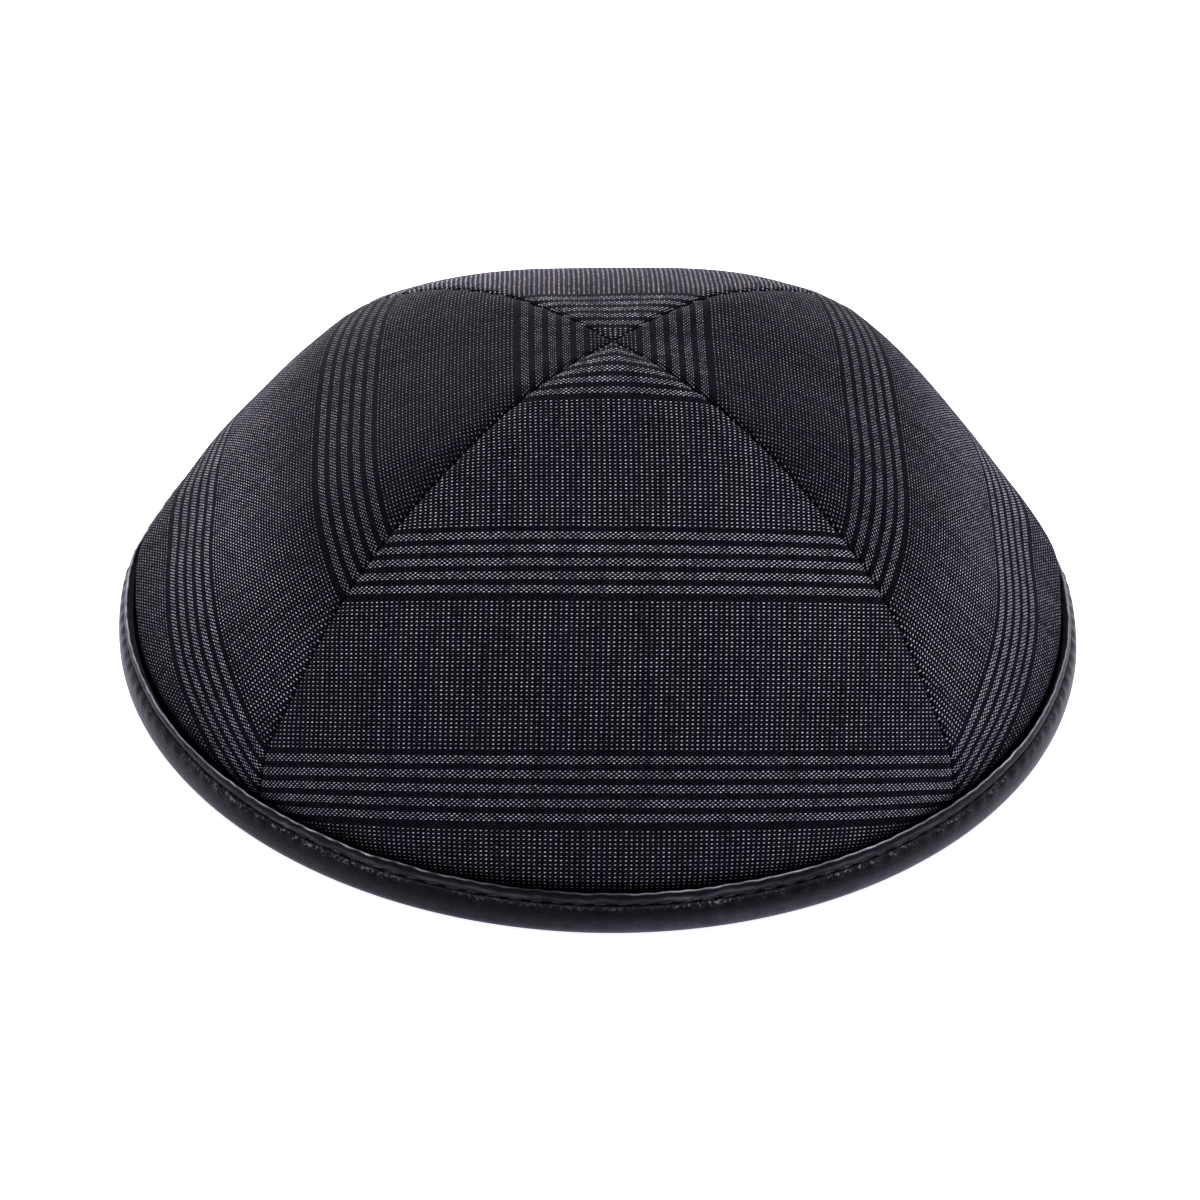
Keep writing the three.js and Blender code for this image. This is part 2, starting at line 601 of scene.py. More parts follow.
@dataclass(frozen=True)
class SewingThread:
    """Black twisted sewing thread."""

    name: str = "black_thread"
    colour: Colour = (0.003, 0.003, 0.0035)
    light: Colour = (0.009, 0.009, 0.011)
    twists_per_metre: float = 5200.0
    relief_depth: float = 0.00005
    relief_strength: float = 0.6
    smoothest: float = 0.5
    rough_by_ply: float = 0.15

    def make(self) -> bpy.types.Material:
        """Build the finish.

        Returns:
            The material.
        """
        recipe = Recipe(self.name)
        x, y, z = recipe.split(recipe.object_place())
        ply = abs(((x + y + z * 2) * self.twists_per_metre).fraction() - 0.5) * 2
        return recipe.finish({
            "Base Color": recipe.blend(ply, self.colour, self.light),
            "Roughness": self.smoothest + ply * self.rough_by_ply,
            "Normal": recipe.relief(ply, self.relief_depth, self.relief_strength),
        })


@dataclass(frozen=True)
class PaleFloor:
    """A plain pale table top, faintly lit from below."""

    name: str = "pale_floor"
    colour: Colour = (0.79, 0.79, 0.84)
    glow: Colour = (0.86, 0.86, 1.0)
    lit: float = 1.0
    darker: float = 0.985
    patch_per_metre: float = 30.0

    def make(self) -> bpy.types.Material:
        """Build the finish.

        Returns:
            The material.
        """
        recipe = Recipe(self.name)
        tone = recipe.cloud(recipe.object_place(), self.patch_per_metre)
        darker = tuple(part * self.darker for part in self.colour)
        return recipe.finish({
            "Base Color": recipe.blend(tone, self.colour, darker),
            "Roughness": 0.6,
            "Emission Color": (*self.glow, 1.0),
            "Emission Strength": self.lit,
        })


# The crown's form


@dataclass(frozen=True)
class Section:
    """A level section of the crown's outer face.

    middle: millimetres from the axis on a panel's centre line.
    height: millimetres above the table.
    corner: radius on a seam over the radius on a centre line.
    tilt: degrees from level at which a row of the weave cuts in through the section's middle.
    """

    middle: float
    height: float
    corner: float
    tilt: float


@dataclass(frozen=True)
class CrownForm:
    """The domed form that the four panels share."""

    sections: tuple[Section, ...] = (
        Section(0, 60.8, 1.17, 90),
        Section(10, 60.5, 1.175, 89),
        Section(21, 58.5, 1.18, 80),
        Section(32, 54, 1.178, 62),
        Section(42, 48.4, 1.16, 47),
        Section(52, 41.4, 1.14, 40),
        Section(61, 33.2, 1.105, 38.5),
        Section(69.5, 23.8, 1.07, 38),
        Section(76, 16.2, 1.045, 35),
        Section(81, 9.8, 1, 33),
        Section(83, 3, 1, 32),
    )
    oval_side: float = 1.007
    oval_front: float = 0.994
    lean: Pair = (1.9, -0.7)
    tip: Pair = (-0.9, 0.1)
    fuller: float = 2.0
    fuller_compass: float = math.radians(75)
    goes_over: float = 0.3
    bulge_left: float = 1.24
    bulge_right: float = 1.72
    bulge_hump: Pair = (10.3, 9.8)
    behind_hump: Pair = (math.radians(9.0), math.radians(8.4))
    foot_left: float = 0.6
    foot_right: float = 0.3
    foot_hump: Pair = (8.5, 4.0)
    drawn_left: float = 1.1
    drawn_right: float = 1.6
    drawn_rise: Pair = (0.06, 0.3)
    gathered_rise: Pair = (7.0, 15.0)
    seam_angle: float = math.pi / 4

    def section_at(self, place: float) -> Section:
        """Section at a place down the crown.

        Args:
            place: from 0, the top, to 1, the foot, or a little past it.

        Returns:
            The section.
        """
        spans = len(self.sections) - 1
        index = min(int(place * spans), spans - 1)
        start, end = self.sections[index], self.sections[index + 1]

        def blended(part: str) -> float:
            """One measure of the section, smoothed between its neighbours.

            Args:
                part: the measure's name.

            Returns:
                Its value at the place.
            """
            first, last = getattr(start, part), getattr(end, part)
            before = getattr(self.sections[index - 1], part) if index else 2 * first - last
            after = getattr(self.sections[index + 2], part) if index + 2 <= spans else 2 * last - first
            return catmull_rom(before, first, last, after, place * spans - index)

        return Section(*(blended(part) for part in ("middle", "height", "corner", "tilt")))

    def radius(self, section: Section, azimuth: float) -> float:
        """Radius of a section, which is a rounded square.

        Args:
            section: the section.
            azimuth: radians from a panel's centre line.

        Returns:
            The radius.
        """
        power = 1 / (0.5 - math.log2(max(section.corner, 1.0)))
        sides = abs(math.cos(azimuth)) ** power + abs(math.sin(azimuth)) ** power
        return section.middle * sides ** (-1 / power)

    def on_section(self, section: Section, azimuth: float) -> Vector:
        """Point of a section at an azimuth from a centre line that runs towards +X."""
        radius = self.radius(section, azimuth)
        return Vector((radius * math.cos(azimuth), radius * math.sin(azimuth), section.height))

    def point(self, place: float, azimuth: float) -> Vector:
        """Point of a panel whose centre line runs towards +X, before the crown's lean."""
        return self.on_section(self.section_at(place), azimuth)

    def sided(self, left: float, right: float, compass: float) -> float:
        """A measure that goes over from its left to its right value across the cap's middle."""
        return left + (right - left) * smooth_step(-self.goes_over, self.goes_over, math.cos(compass))

    def drawn_in(self, compass: float) -> float:
        """How far the rim is drawn in behind the cap's widest line."""
        most = self.sided(self.drawn_left, self.drawn_right, compass)
        return most * smooth_step(*self.drawn_rise, math.sin(compass))

    def bulged(self, compass: float, height: float) -> float:
        """How far the cloth stands out of the plain sections near the rim.

        Args:
            compass: radians from +X.
            height: millimetres above the table.

        Returns:
            Millimetres outwards.
        """
        bulge = self.sided(self.bulge_left, self.bulge_right, compass) * hump(*self.bulge_hump, height)
        bulge *= hump(*self.behind_hump, math.asin(math.sin(compass)))
        foot = self.sided(self.foot_left, self.foot_right, compass) * hump(*self.foot_hump, height)
        gathered = self.drawn_in(compass) * (1 - smooth_step(*self.gathered_rise, height))
        return bulge + foot * math.cos(compass) ** 2 - gathered

    def settled(self, point: Vector, place: float, quarter: int) -> Vector:
        """A panel's point turned to its side of the cap, with the cap's lean and fuller back.

        Args:
            point: the point on a panel that runs towards +X.
            place: its place down the crown.
            quarter: quarter turns from +X to the panel's side.

        Returns:
            The point in the cap's frame.
        """
        turned = Matrix.Rotation(quarter * math.pi / 2, 3, "Z") @ point
        share = max(point.z / self.sections[0].height, 0.0) ** 2
        aside = Vector((math.cos(self.fuller_compass), math.sin(self.fuller_compass), 0.0))
        level = Vector((turned.x, turned.y, 0.0))
        outwards = level / max(level.length, MM)
        facing = max(aside.dot(outwards), 0.0)
        fuller = self.fuller * (facing * math.sin(math.pi * place)) ** 2
        turned = turned + outwards * self.bulged(math.atan2(level.y, level.x), point.z)
        oval = Vector((turned.x * self.oval_side, turned.y * self.oval_front, turned.z))
        lean, tip = Vector((*self.lean, 0.0)), Vector((*self.tip, 0.0))
        return oval + lean * share + tip * share ** 4 + aside * fuller


class WeaveChart:
    """Flat coordinates of the cloth on one panel, row by row.

    Each row of the weave lies in a plane that holds the sideways direction and cuts in and down
    through the panel's centre line at the section's tilt.
    """

    stations = 640
    rows = 64
    azimuths = 44
    overrun = 1.06
    widening = 1.04
    upright = 90.0
    digits = 9
    sliver = 1e-6
    least_fall = 1e-12

    def __init__(self, form: CrownForm) -> None:
        """Measure the rows of a panel.

        Args:
            form: the crown's form.
        """
        self.form = form
        self.widest = form.seam_angle * self.widening
        places = [self.overrun * step / self.stations for step in range(self.stations + 1)]
        self.sections = [form.section_at(place) for place in places]
        self.lengths = [0.0]
        for upper, lower in zip(self.sections, self.sections[1:]):
            span = math.hypot(lower.middle - upper.middle, lower.height - upper.height)
            self.lengths.append(self.lengths[-1] + span)
        self.spacing = self.lengths[-1] / self.rows
        self.table = [self.row_widths(index * self.spacing) for index in range(self.rows + 1)]
        self.known: dict[Pair, Pair] = {}

    def crossing(self, outside: Callable[[int], float]) -> float:
        """Where a falling measure of the stations crosses zero.

        Args:
            outside: the measure of a station, positive above the crossing.

        Returns:
            The station, with a fraction.
        """
        low, high = 0, self.stations
        while high - low > 1:
            middle = (low + high) // 2
            if outside(middle) > 0:
                low = middle
            else:
                high = middle
        above, below = outside(low), outside(high)
        return low + min(max(above / max(above - below, self.least_fall), 0.0), 1.0)

    def beyond(self, point: Vector, station: int) -> float:
        """How far a point lies past the plane of a row.

        Args:
            point: the point on a panel that runs towards +X.
            station: the station at which the row crosses the centre line.

        Returns:
            Millimetres down and out.
        """
        section = self.sections[station]
        tilt = math.radians(min(section.tilt, self.upright))
        return (point.x - section.middle) * math.sin(tilt) - (point.z - section.height) * math.cos(tilt)

    def length_at(self, station: float) -> float:
        """Length down the centre line of a station with a fraction."""
        index = min(int(station), self.stations - 1)
        return self.lengths[index] + (self.lengths[index + 1] - self.lengths[index]) * (station - index)

    def row_widths(self, length: float) -> list[float]:
        """Widths along one row.

        Args:
            length: length down the centre line at which the row lies.

        Returns:
            Widths from the centre line, at even steps of azimuth.
        """
        row = round(self.crossing(lambda station: length - self.lengths[station]))
        widths = [0.0]
        before = self.form.on_section(self.sections[row], 0.0)
        for step in range(1, self.azimuths + 1):
            azimuth = self.widest * step / self.azimuths

            def short_of_row(station: int) -> float:
                """How far the station's point lies short of the row's plane."""
                return -self.beyond(self.form.on_section(self.sections[station], azimuth), row)

            where = self.crossing(short_of_row)
            index = min(int(where), self.stations - 1)
            upper = self.form.on_section(self.sections[index], azimuth)
            lower = self.form.on_section(self.sections[index + 1], azimuth)
            here = upper.lerp(lower, where - index)
            widths.append(widths[-1] + (here - before).length)
            before = here
        return widths

    def flat(self, place: float, azimuth: float) -> Pair:
        """Flat coordinates of a point of the panel.

        Args:
            place: place down the crown.
            azimuth: radians from the centre line.

        Returns:
            Millimetres along the row and down the centre line.
        """
        key = (round(place, self.digits), round(abs(azimuth), self.digits))
        if key not in self.known:
            self.known[key] = self.measured(*key)
        along, down = self.known[key]
        return math.copysign(along, azimuth), down

    def measured(self, place: float, azimuth: float) -> Pair:
        """Flat coordinates of a point, worked out afresh.

        Args:
            place: place down the crown.
            azimuth: radians from the centre line, not negative.

        Returns:
            Millimetres along the row and down the centre line.
        """
        point = self.form.point(place, azimuth)
        down = self.length_at(self.crossing(lambda station: self.beyond(point, station)))
        row = min(down / self.spacing, self.rows - self.sliver)
        column = min(azimuth / self.widest * self.azimuths, self.azimuths - self.sliver)
        upper, left = int(row), int(column)
        widths = []
        for index in (upper, upper + 1):
            first, last = self.table[index][left], self.table[index][left + 1]
            widths.append(first + (last - first) * (column - left))
        return widths[0] + (widths[1] - widths[0]) * (row - upper), down


# Sub-assemblies

BINDING_NAME = "rim_binding_leather"


@dataclass(frozen=True)
class Making:
    """How painted light and shade fall on one panel's dots, and what the making of the cap did to the
    panel.

    painted_light: painted light and shade on the dots, as their brightness at even steps of height.
    painted_light_right: how much brighter the painted light makes the dots towards the panel's right.
    puff: swell beside the top cross.
    drawn_in: pull of the weave towards the top cross.
    pull_upper: pull of the weave about the upper band.
    pull_lower: pull of the weave about the lower band.
    """

    painted_light: tuple[float, ...]
    painted_light_right: float = 0.0
    puff: float = 0.0
    drawn_in: float = 0.0
    pull_upper: float = 0.0
    pull_lower: float = 0.0


# Painted light and shade on each panel's dots, by height and towards its right.
MAKINGS = {
    PanelSide.RIGHT: Making((1.15, 1.9, 2.1, 0.98, 0.68, 0.56), pull_lower=0.7),
    PanelSide.BACK: Making((1.05, 1.05, 1.1, 1.55, 1.65, 0.98), painted_light_right=0.6),
    PanelSide.LEFT: Making((0.9, 1.3, 1.75, 0.68, 0.5, 0.44), pull_upper=-0.75, pull_lower=0.3),
    PanelSide.FRONT: Making((1.0, 1.04, 1.1, 1.26, 1.42, 1.1), painted_light_right=0.4, puff=0.6, drawn_in=2.4),
}


@dataclass
class ClothPanel:
    """One woven panel: a curved triangle of cloth, rolled in along its seams."""

    side: PanelSide
    making: Making
    form: CrownForm
    chart: WeaveChart
    cloth: bpy.types.Material
    back: bpy.types.Material
    thickness: float = 1.25
    columns: int = 84
    rows: int = 112
    merge_distance: float = 0.004
    top_place: float = 1e-4
    top_clearance: float = 0.12
    edge_crowding: float = 1.7
    seam_overlap: float = 0.02
    # Painted shade along the seams, weaker towards the top, and at the foot.
    seam_shade: float = 0.26
    top_shade: float = 0.25
    top_shade_rise: Pair = (8.0, 34.0)
    foot_shade_rise: Pair = (7.1, 8.2)
    roll_radius: float = 0.95
    top_roll: float = 0.45
    top_roll_rise: Pair = (6.0, 34.0)
    ridge_height: float = 0.22
    ridge_hump: Pair = (2.6, 2.6)
    pucker_height: float = 0.13
    pucker_pitch: float = 4.3
    pucker_reach: float = 3.0
    pucker_lanes: Pair = (5.0, 17.0)
    pucker_drift: float = 2.0
    pucker_drift_size: float = 9.0
    sway: float = 0.3
    sway_size: float = 17.0
    free_top_rise: Pair = (2.0, 14.0)
    free_foot_rise: Pair = (6.0, 14.0)
    puff_hump: Pair = (11.0, 9.0)
    tuck: float = 0.65
    tuck_hump: Pair = (6.9, 1.6)
    drawn_hump: Pair = (0.0, 11.0)
    upper_band_hump: Pair = (48.0, 22.0)
    lower_band_hump: Pair = (86.0, 22.0)
    # Steps of height of the painted light and shade, and where its rise towards the panel's right
    # starts and ends.
    painted_light_step: float = 10.0
    painted_light_rise: Pair = (5.0, 45.0)

    @property
    def name(self) -> str:
        """The piece's name."""
        return f"{self.side.name.lower()}_panel_cloth"

    @property
    def node(self) -> str:
        """The CAD node that the piece stands for."""
        return f"panel_{self.side.name.lower()}"

    def azimuth(self, place: float, across: float) -> float:
        """Azimuth at a share across the panel, crowded towards the seams.

        Args:
            place: place down the crown.
            across: from -1 at one seam to 1 at the other.

        Returns:
            Radians from the centre line.
        """
        section = self.form.section_at(place)
        section = Section(max(section.middle, self.top_clearance), section.height, section.corner, 0.0)
        seam_radius = self.form.radius(section, self.form.seam_angle)
        edge = self.form.seam_angle + math.asin(self.seam_overlap / seam_radius)
        crowded = 1 - (1 - abs(across)) ** self.edge_crowding
        return math.copysign(crowded * edge, across)

    def from_seam(self, azimuth: float, point: Vector) -> float:
        """Distance of a point from the nearer seam."""
        return math.hypot(point.x, point.y) * math.sin(self.form.seam_angle - abs(azimuth))

    def middling(self, azimuth: float) -> float:
        """1 on the centre line and 0 on the seams."""
        return 1 - (azimuth / self.form.seam_angle) ** 2

    def dip(self, place: float, azimuth: float, point: Vector) -> float:
        """How far the cloth lies below the plain form.

        Args:
            place: place down the crown.
            azimuth: radians from the centre line.
            point: the plain form's point, on a panel that runs towards +X.

        Returns:
            Millimetres inwards.
        """
        from_top, from_seam = math.hypot(point.x, point.y), self.from_seam(azimuth, point)
        inside = min(max(self.roll_radius - from_seam, 0.0), self.roll_radius)
        roll = self.roll_radius - math.sqrt(self.roll_radius ** 2 - inside ** 2)
        roll *= rising(self.top_roll, *self.top_roll_rise, from_top)
        lane = Vector((self.pucker_lanes[azimuth > 0], point.z, 0.0))
        phase = wander(lane, self.pucker_drift_size) * self.pucker_drift
        wave = math.sin(2 * math.pi * place * self.chart.lengths[-1] / self.pucker_pitch + phase)
        pucker = self.pucker_height * wave * math.exp(-from_seam / self.pucker_reach)
        ridge = self.ridge_height * hump(*self.ridge_hump, from_seam)
        seen = Matrix.Rotation(self.side.value * math.pi / 2, 3, "Z") @ point
        sway = self.sway * wander(seen, self.sway_size)
        free = smooth_step(*self.free_top_rise, from_top) * smooth_step(*self.free_foot_rise, point.z)
        swell = self.making.puff * hump(*self.puff_hump, from_top) * self.middling(azimuth)
        tuck = self.tuck * hump(*self.tuck_hump, point.z)
        return roll + tuck - swell - (ridge + pucker + sway) * free

    def shade(self, azimuth: float, point: Vector) -> float:
        """Painted shade where the cloth turns under at a seam or at the foot.

        Args:
            azimuth: radians from the centre line.
            point: the plain form's point.

        Returns:
            1 where the painted shade is darkest and 0 away from there.
        """
        seam = 1 - smooth_step(0.0, self.seam_shade, self.from_seam(azimuth, point))
        seam *= rising(self.top_shade, *self.top_shade_rise, math.hypot(point.x, point.y))
        return max(seam, 1 - smooth_step(*self.foot_shade_rise, point.z))

    def painted_light(self, point: Vector) -> float:
        """Painted light and shade on the dots at a point, as their brightness.

        Args:
            point: the plain form's point, on a panel that runs towards +X.

        Returns:
            The brightness, about 1.
        """
        tones = self.making.painted_light
        station = min(max(point.z / self.painted_light_step - 1, 0.0), len(tones) - 1.0)
        index = min(int(station), len(tones) - 2)
        level = tones[index] + (tones[index + 1] - tones[index]) * (station - index)
        return level * (1 + self.making.painted_light_right * smooth_step(*self.painted_light_rise, point.y))

    def charted(self, place: float, azimuth: float) -> Pair:
        """Flat coordinates of the cloth, with the slight pulls of its making.

        Args:
            place: place down the crown.
            azimuth: radians from the centre line.

        Returns:
            Millimetres along the row and down the centre line.
        """
        along, down = self.chart.flat(place, azimuth)
        pull = self.making.drawn_in * hump(*self.drawn_hump, down)
        pull += self.making.pull_upper * hump(*self.upper_band_hump, down)
        pull += self.making.pull_lower * hump(*self.lower_band_hump, down)
        return along, down + pull * self.middling(azimuth)

    def face(self) -> tuple[bmesh.types.BMesh, dict[int, Pair]]:
        """Shape the panel's outer face, with its weave charted.

        Returns:
            The face and its points' flat coordinates.
        """
        mesh = bmesh.new()
        bmesh.ops.create_grid(mesh, x_segments=self.columns, y_segments=self.rows, size=1.0)
        chart = mesh.loops.layers.uv.new(WEAVE_CHART)
        shade = mesh.verts.layers.float.new(PAINTED_SHADE)
        painted_light = mesh.verts.layers.float.new(PAINTED_LIGHT_TONE)
        flat: dict[int, Pair] = {}
        dips: dict[int, float] = {}
        mesh.verts.ensure_lookup_table()
        for vert in mesh.verts:
            place = (1 - vert.co.y) / 2
            azimuth = self.azimuth(place, vert.co.x)
            point = self.form.point(max(place, self.top_place), azimuth)
            flat[vert.index] = self.charted(place, azimuth)
            dips[vert.index] = self.dip(place, azimuth, point)
            # Painted shade at the seams and the foot.
            vert[shade] = self.shade(azimuth, point)
            # Painted light and shade on the dots.
            vert[painted_light] = self.painted_light(point)
            vert.co = self.form.settled(point, place, self.side.value) * MM
        for face in mesh.faces:
            for loop in face.loops:
                loop[chart].uv = flat[loop.vert.index]
        mesh.normal_update()
        if sum(face.normal.z for face in mesh.faces) < 0:
            bmesh.ops.reverse_faces(mesh, faces=mesh.faces)
            mesh.normal_update()
        normals = {vert.index: vert.normal.copy() for vert in mesh.verts}
        for vert in mesh.verts:
            vert.co -= normals[vert.index] * dips[vert.index] * MM
        bmesh.ops.remove_doubles(mesh, verts=mesh.verts, dist=self.merge_distance * MM)
        return mesh, flat

    def build(self) -> bpy.types.Object:
        """Build the panel as a shell and log the size of its cut.

        Returns:
            The panel.
        """
        mesh, flat = self.face()
        area = sum(face.calc_area() for face in mesh.faces)
        piece = object_from(mesh, self.name, [self.cloth, self.back])
        wall = piece.modifiers.new("wall", "SOLIDIFY")
        wall.thickness = self.thickness * MM
        wall.offset = -1.0
        wall.material_offset = 1
        wall.use_even_offset = False
        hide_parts(self.node)
        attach(piece, "root")
        width = 2 * max(along for along, _ in flat.values()) * MM
        length = max(down for _, down in flat.values()) * MM
        cut = (width / MM, length / MM, area / CM ** 2)
        log.info("%s: cut %.1f by %.1f mm, %.1f square cm", self.name, *cut)
        return piece


@dataclass(frozen=True)
class Unevenness:
    """Smooth noise along the rim: its lane, the size of its lumps and how far it reaches."""

    lane: float
    size: float
    reach: float = 1.0


@dataclass
class RimBinding:
    """The leather strip folded round the panels' foot, with its sewn crease and puckers."""

    form: CrownForm
    leather: bpy.types.Material
    thread: bpy.types.Material
    steps: int = 1080
    sectors: int = 24
    stations_each: int = 3
    merge_distance: float = 0.002
    section: tuple[Pair, ...] = (
        (83.1, 5.6), (83.1, 7.0), (83.2, 8.1), (83.42, 8.4), (83.68, 8.2),
        (83.98, 7.5), (84.2, 6.9), (83.8, 6.42), (84.3, 6.15), (84.68, 5.3),
        (84.93, 4.2), (85.0, 3.3), (84.88, 1.8),
        (84.25, 0.6), (83.3, 0.0), (81.4, 0.0), (80.4, 0.45), (79.85, 1.6),
        (79.45, 4.0), (79.0, 6.2), (78.75, 7.3), (79.1, 7.7), (79.55, 7.4),
        (80.3, 4.2), (80.8, 1.8), (83.5, 1.8), (83.4, 3.6),
    )
    outer_rise: Pair = (81.5, 83.0)
    inside_rise: Pair = (83.15, 83.35)
    crease_radius: float = 83.78
    crease_height: float = 6.42
    crease_reach: float = 0.22
    stitches: int = 152
    stitch_drift: Unevenness = Unevenness(0, 7.0, 2.2)
    stitch_length: float = 2.5
    stitch_out: float = 0.04
    stitch_lean: float = math.radians(4.0)
    stitch_segments: int = 8
    stitch_rings: int = 6
    thread_radius: float = 0.17
    pucker: float = 0.16
    pucker_hump: Pair = (5.75, 0.6)
    pucker_rise: Pair = (83.2, 84.0)
    least_pucker: float = 0.55
    pucker_change: Unevenness = Unevenness(40, 11.0, 0.9)
    fold: Unevenness = Unevenness(0, 1.3, 0.16)
    fold_turn: float = 0.6
    fold_calm: float = 0.75
    soft: Unevenness = Unevenness(0, 14.0, 0.12)
    soft_rise: Pair = (0.3, 2.5)
    lip_rise: Pair = (6.4, 8.2)
    lip_sway: Unevenness = Unevenness(9, 5.0, 0.17)
    lip_ripple: Unevenness = Unevenness(31, 1.6, 0.09)
    lip_lift: Unevenness = Unevenness(70, 4.2, 0.17)
    lip_beat: float = 0.06
    lip_left: float = 0.0
    lip_right: float = 0.3
    roll_left: float = 0.35
    shoulder_in: float = 0.85
    shoulder_in_hump: Pair = (6.5, 0.8)
    shoulder_up: float = 0.75
    shoulder_up_hump: Pair = (6.2, 1.1)
    # Painted highlights: a pale line on the lip, dimmed at the front and dashed left of it, a line
    # along the shoulder's ridge and one below the crease.
    highlight_rise: Pair = (8.27, 8.39)
    worn: float = 0.7
    highlight_change: Unevenness = Unevenness(150, 9.0, 0.5)
    unlit: float = 0.92
    unlit_hump: Pair = (-98.0, 11.0)
    dashed: float = 0.85
    dashed_hump: Pair = (-117.0, 17.0)
    highlight_calm: float = 0.35
    ridge: float = 0.13
    ridge_hump: Pair = (7.35, 0.22)
    ridge_sway: Unevenness = Unevenness(260, 3.2, 0.3)
    least_ridge: float = 0.7
    ridge_change: Unevenness = Unevenness(310, 6.0, 0.9)
    line: float = 0.05
    line_hump: Pair = (6.1, 0.13)
    # Painted light from the lit floor on the lower roll, stronger on the right.
    floor_light_left: float = 0.03
    floor_light_right: float = 0.09
    floor_light_rise: Pair = (1.0, 5.2)
    glint_humps: tuple[Pair, Pair] = ((5.95, 0.25), (6.85, 0.12))
    glint_change: Unevenness = Unevenness(210, 8.0)
    glint_rise: Pair = (-0.5, 0.4)
    front: float = -97.0
    front_glint: float = 0.25
    front_rise: Pair = (6.0, 22.0)

    def uneven(self, noisy: Unevenness, azimuth: float, beside: float = 0.0) -> float:
        """Height of a noise along the rim.

        Args:
            noisy: the noise.
            azimuth: radians from +X.
            beside: millimetres beside the noise's lane.

        Returns:
            From about minus its reach to its reach.
        """
        around = Vector((math.cos(azimuth), math.sin(azimuth), 0.0)) * self.crease_radius
        return noisy.reach * wander(around + Vector((0.0, 0.0, noisy.lane + beside)), noisy.size)

    def beat(self, azimuth: float) -> float:
        """1 between two stitches and -1 amid a stitch, a little out of step."""
        return math.cos(azimuth * self.stitches + self.uneven(self.stitch_drift, azimuth))

    def sideways(self, azimuth: float) -> float:
        """1 at the cap's two sides, and 0 at its front and back."""
        return math.cos(azimuth) ** 4

    def outline(self) -> list[Pair]:
        """The section's closed outline, smoothed between its named points.

        Returns:
            Radius and height of each point.
        """
        count = len(self.section)
        points = []
        for index in range(count):
            four = [self.section[(index + step) % count] for step in (-1, 0, 1, 2)]
            for station in range(self.stations_each):
                share = station / self.stations_each
                radius, height = (catmull_rom(*measures, share) for measures in zip(*four))
                points.append((radius, max(height, 0.0)))
        return points

    def shoulder(self, azimuth: float, height: float) -> Pair:
        """How far the rim's shoulder is worked in and up at the cap's sides.

        Args:
            azimuth: radians from +X.
            height: millimetres above the table, on the plain section.

        Returns:
            Millimetres inwards and upwards.
        """
        inwards = self.shoulder_in * hump(*self.shoulder_in_hump, height)
        upwards = self.shoulder_up * hump(*self.shoulder_up_hump, height)
        return inwards * self.sideways(azimuth), upwards * self.sideways(azimuth)

    def worked(self, radius: float, height: float, azimuth: float) -> Pair:
        """Where the sewing pulls a point of the plain ring.

        Args:
            radius: millimetres from the axis.
            height: millimetres above the table.
            azimuth: radians from +X.

        Returns:
            The new radius and height.
        """
        outer = smooth_step(*self.outer_rise, radius)
        lip = smooth_step(*self.lip_rise, height) * outer
        beside = hump(*self.pucker_hump, height) * smooth_step(*self.pucker_rise, radius)
        beat, sideways = self.beat(azimuth), self.sideways(azimuth)
        swell = self.pucker * beat * (self.least_pucker + abs(self.uneven(self.pucker_change, azimuth)))
        folds = self.uneven(self.fold, azimuth, height * self.fold_turn)
        folds *= 1 - self.fold_calm * sideways
        soft = self.uneven(self.soft, azimuth, height) * smooth_step(*self.soft_rise, height)
        lip_out = self.uneven(self.lip_sway, azimuth) + self.uneven(self.lip_ripple, azimuth)
        lip_out -= self.form.sided(self.lip_left, self.lip_right, azimuth) * math.cos(azimuth) ** 2
        lip_up = self.uneven(self.lip_lift, azimuth) - self.lip_beat * beat
        shoulder_in, shoulder_up = self.shoulder(azimuth, height)
        roll_out = self.form.sided(self.roll_left, 0.0, azimuth) * sideways
        moved = radius + (swell + folds) * beside + lip_out * lip - self.form.drawn_in(azimuth)
        moved += (soft + roll_out - shoulder_in) * outer
        return moved, height + lip_up * lip + shoulder_up * outer

    def highlighting(self, height: float, azimuth: float) -> float:
        """Painted highlights on the leather's lip, its shoulder's ridge and below its crease, and
        painted light from the floor on the roll that rests on the table.

        Args:
            height: millimetres above the table, on the plain section.
            azimuth: radians from +X.

        Returns:
            0 where nothing is painted, 1 where it is palest.
        """
        sideways, compass = self.sideways(azimuth), math.degrees(azimuth)
        lip = self.worn + self.uneven(self.highlight_change, azimuth)
        lip *= 1 - self.unlit * hump(*self.unlit_hump, compass)
        lip *= 1 - self.dashed * hump(*self.dashed_hump, compass) * (1 - self.beat(azimuth)) / 2
        lip *= smooth_step(*self.highlight_rise, height) * (1 - self.highlight_calm * sideways)
        ridge = hump(*self.ridge_hump, height - self.uneven(self.ridge_sway, azimuth))
        ridge *= self.ridge * (self.least_ridge + self.uneven(self.ridge_change, azimuth))
        line = self.line * hump(*self.line_hump, height)
        # Painted light from the floor on the lower roll.
        floor_light = self.form.sided(self.floor_light_left, self.floor_light_right, azimuth)
        floor_light *= 1 - smooth_step(*self.floor_light_rise, height)
        return lip + (ridge + line) * (1 - sideways) + floor_light

    def glinting(self, height: float, azimuth: float) -> float:
        """How much the puckers beside the crease shine.

        Args:
            height: millimetres above the table, on the plain section.
            azimuth: radians from +X.

        Returns:
            0 where they don't, about 1 where they shine.
        """
        patch = smooth_step(*self.glint_rise, self.uneven(self.glint_change, azimuth))
        patch *= rising(self.front_glint, *self.front_rise, abs(math.degrees(azimuth) - self.front))
        puckers = sum(hump(*pair, height) for pair in self.glint_humps)
        return puckers * patch * (1 - self.sideways(azimuth))

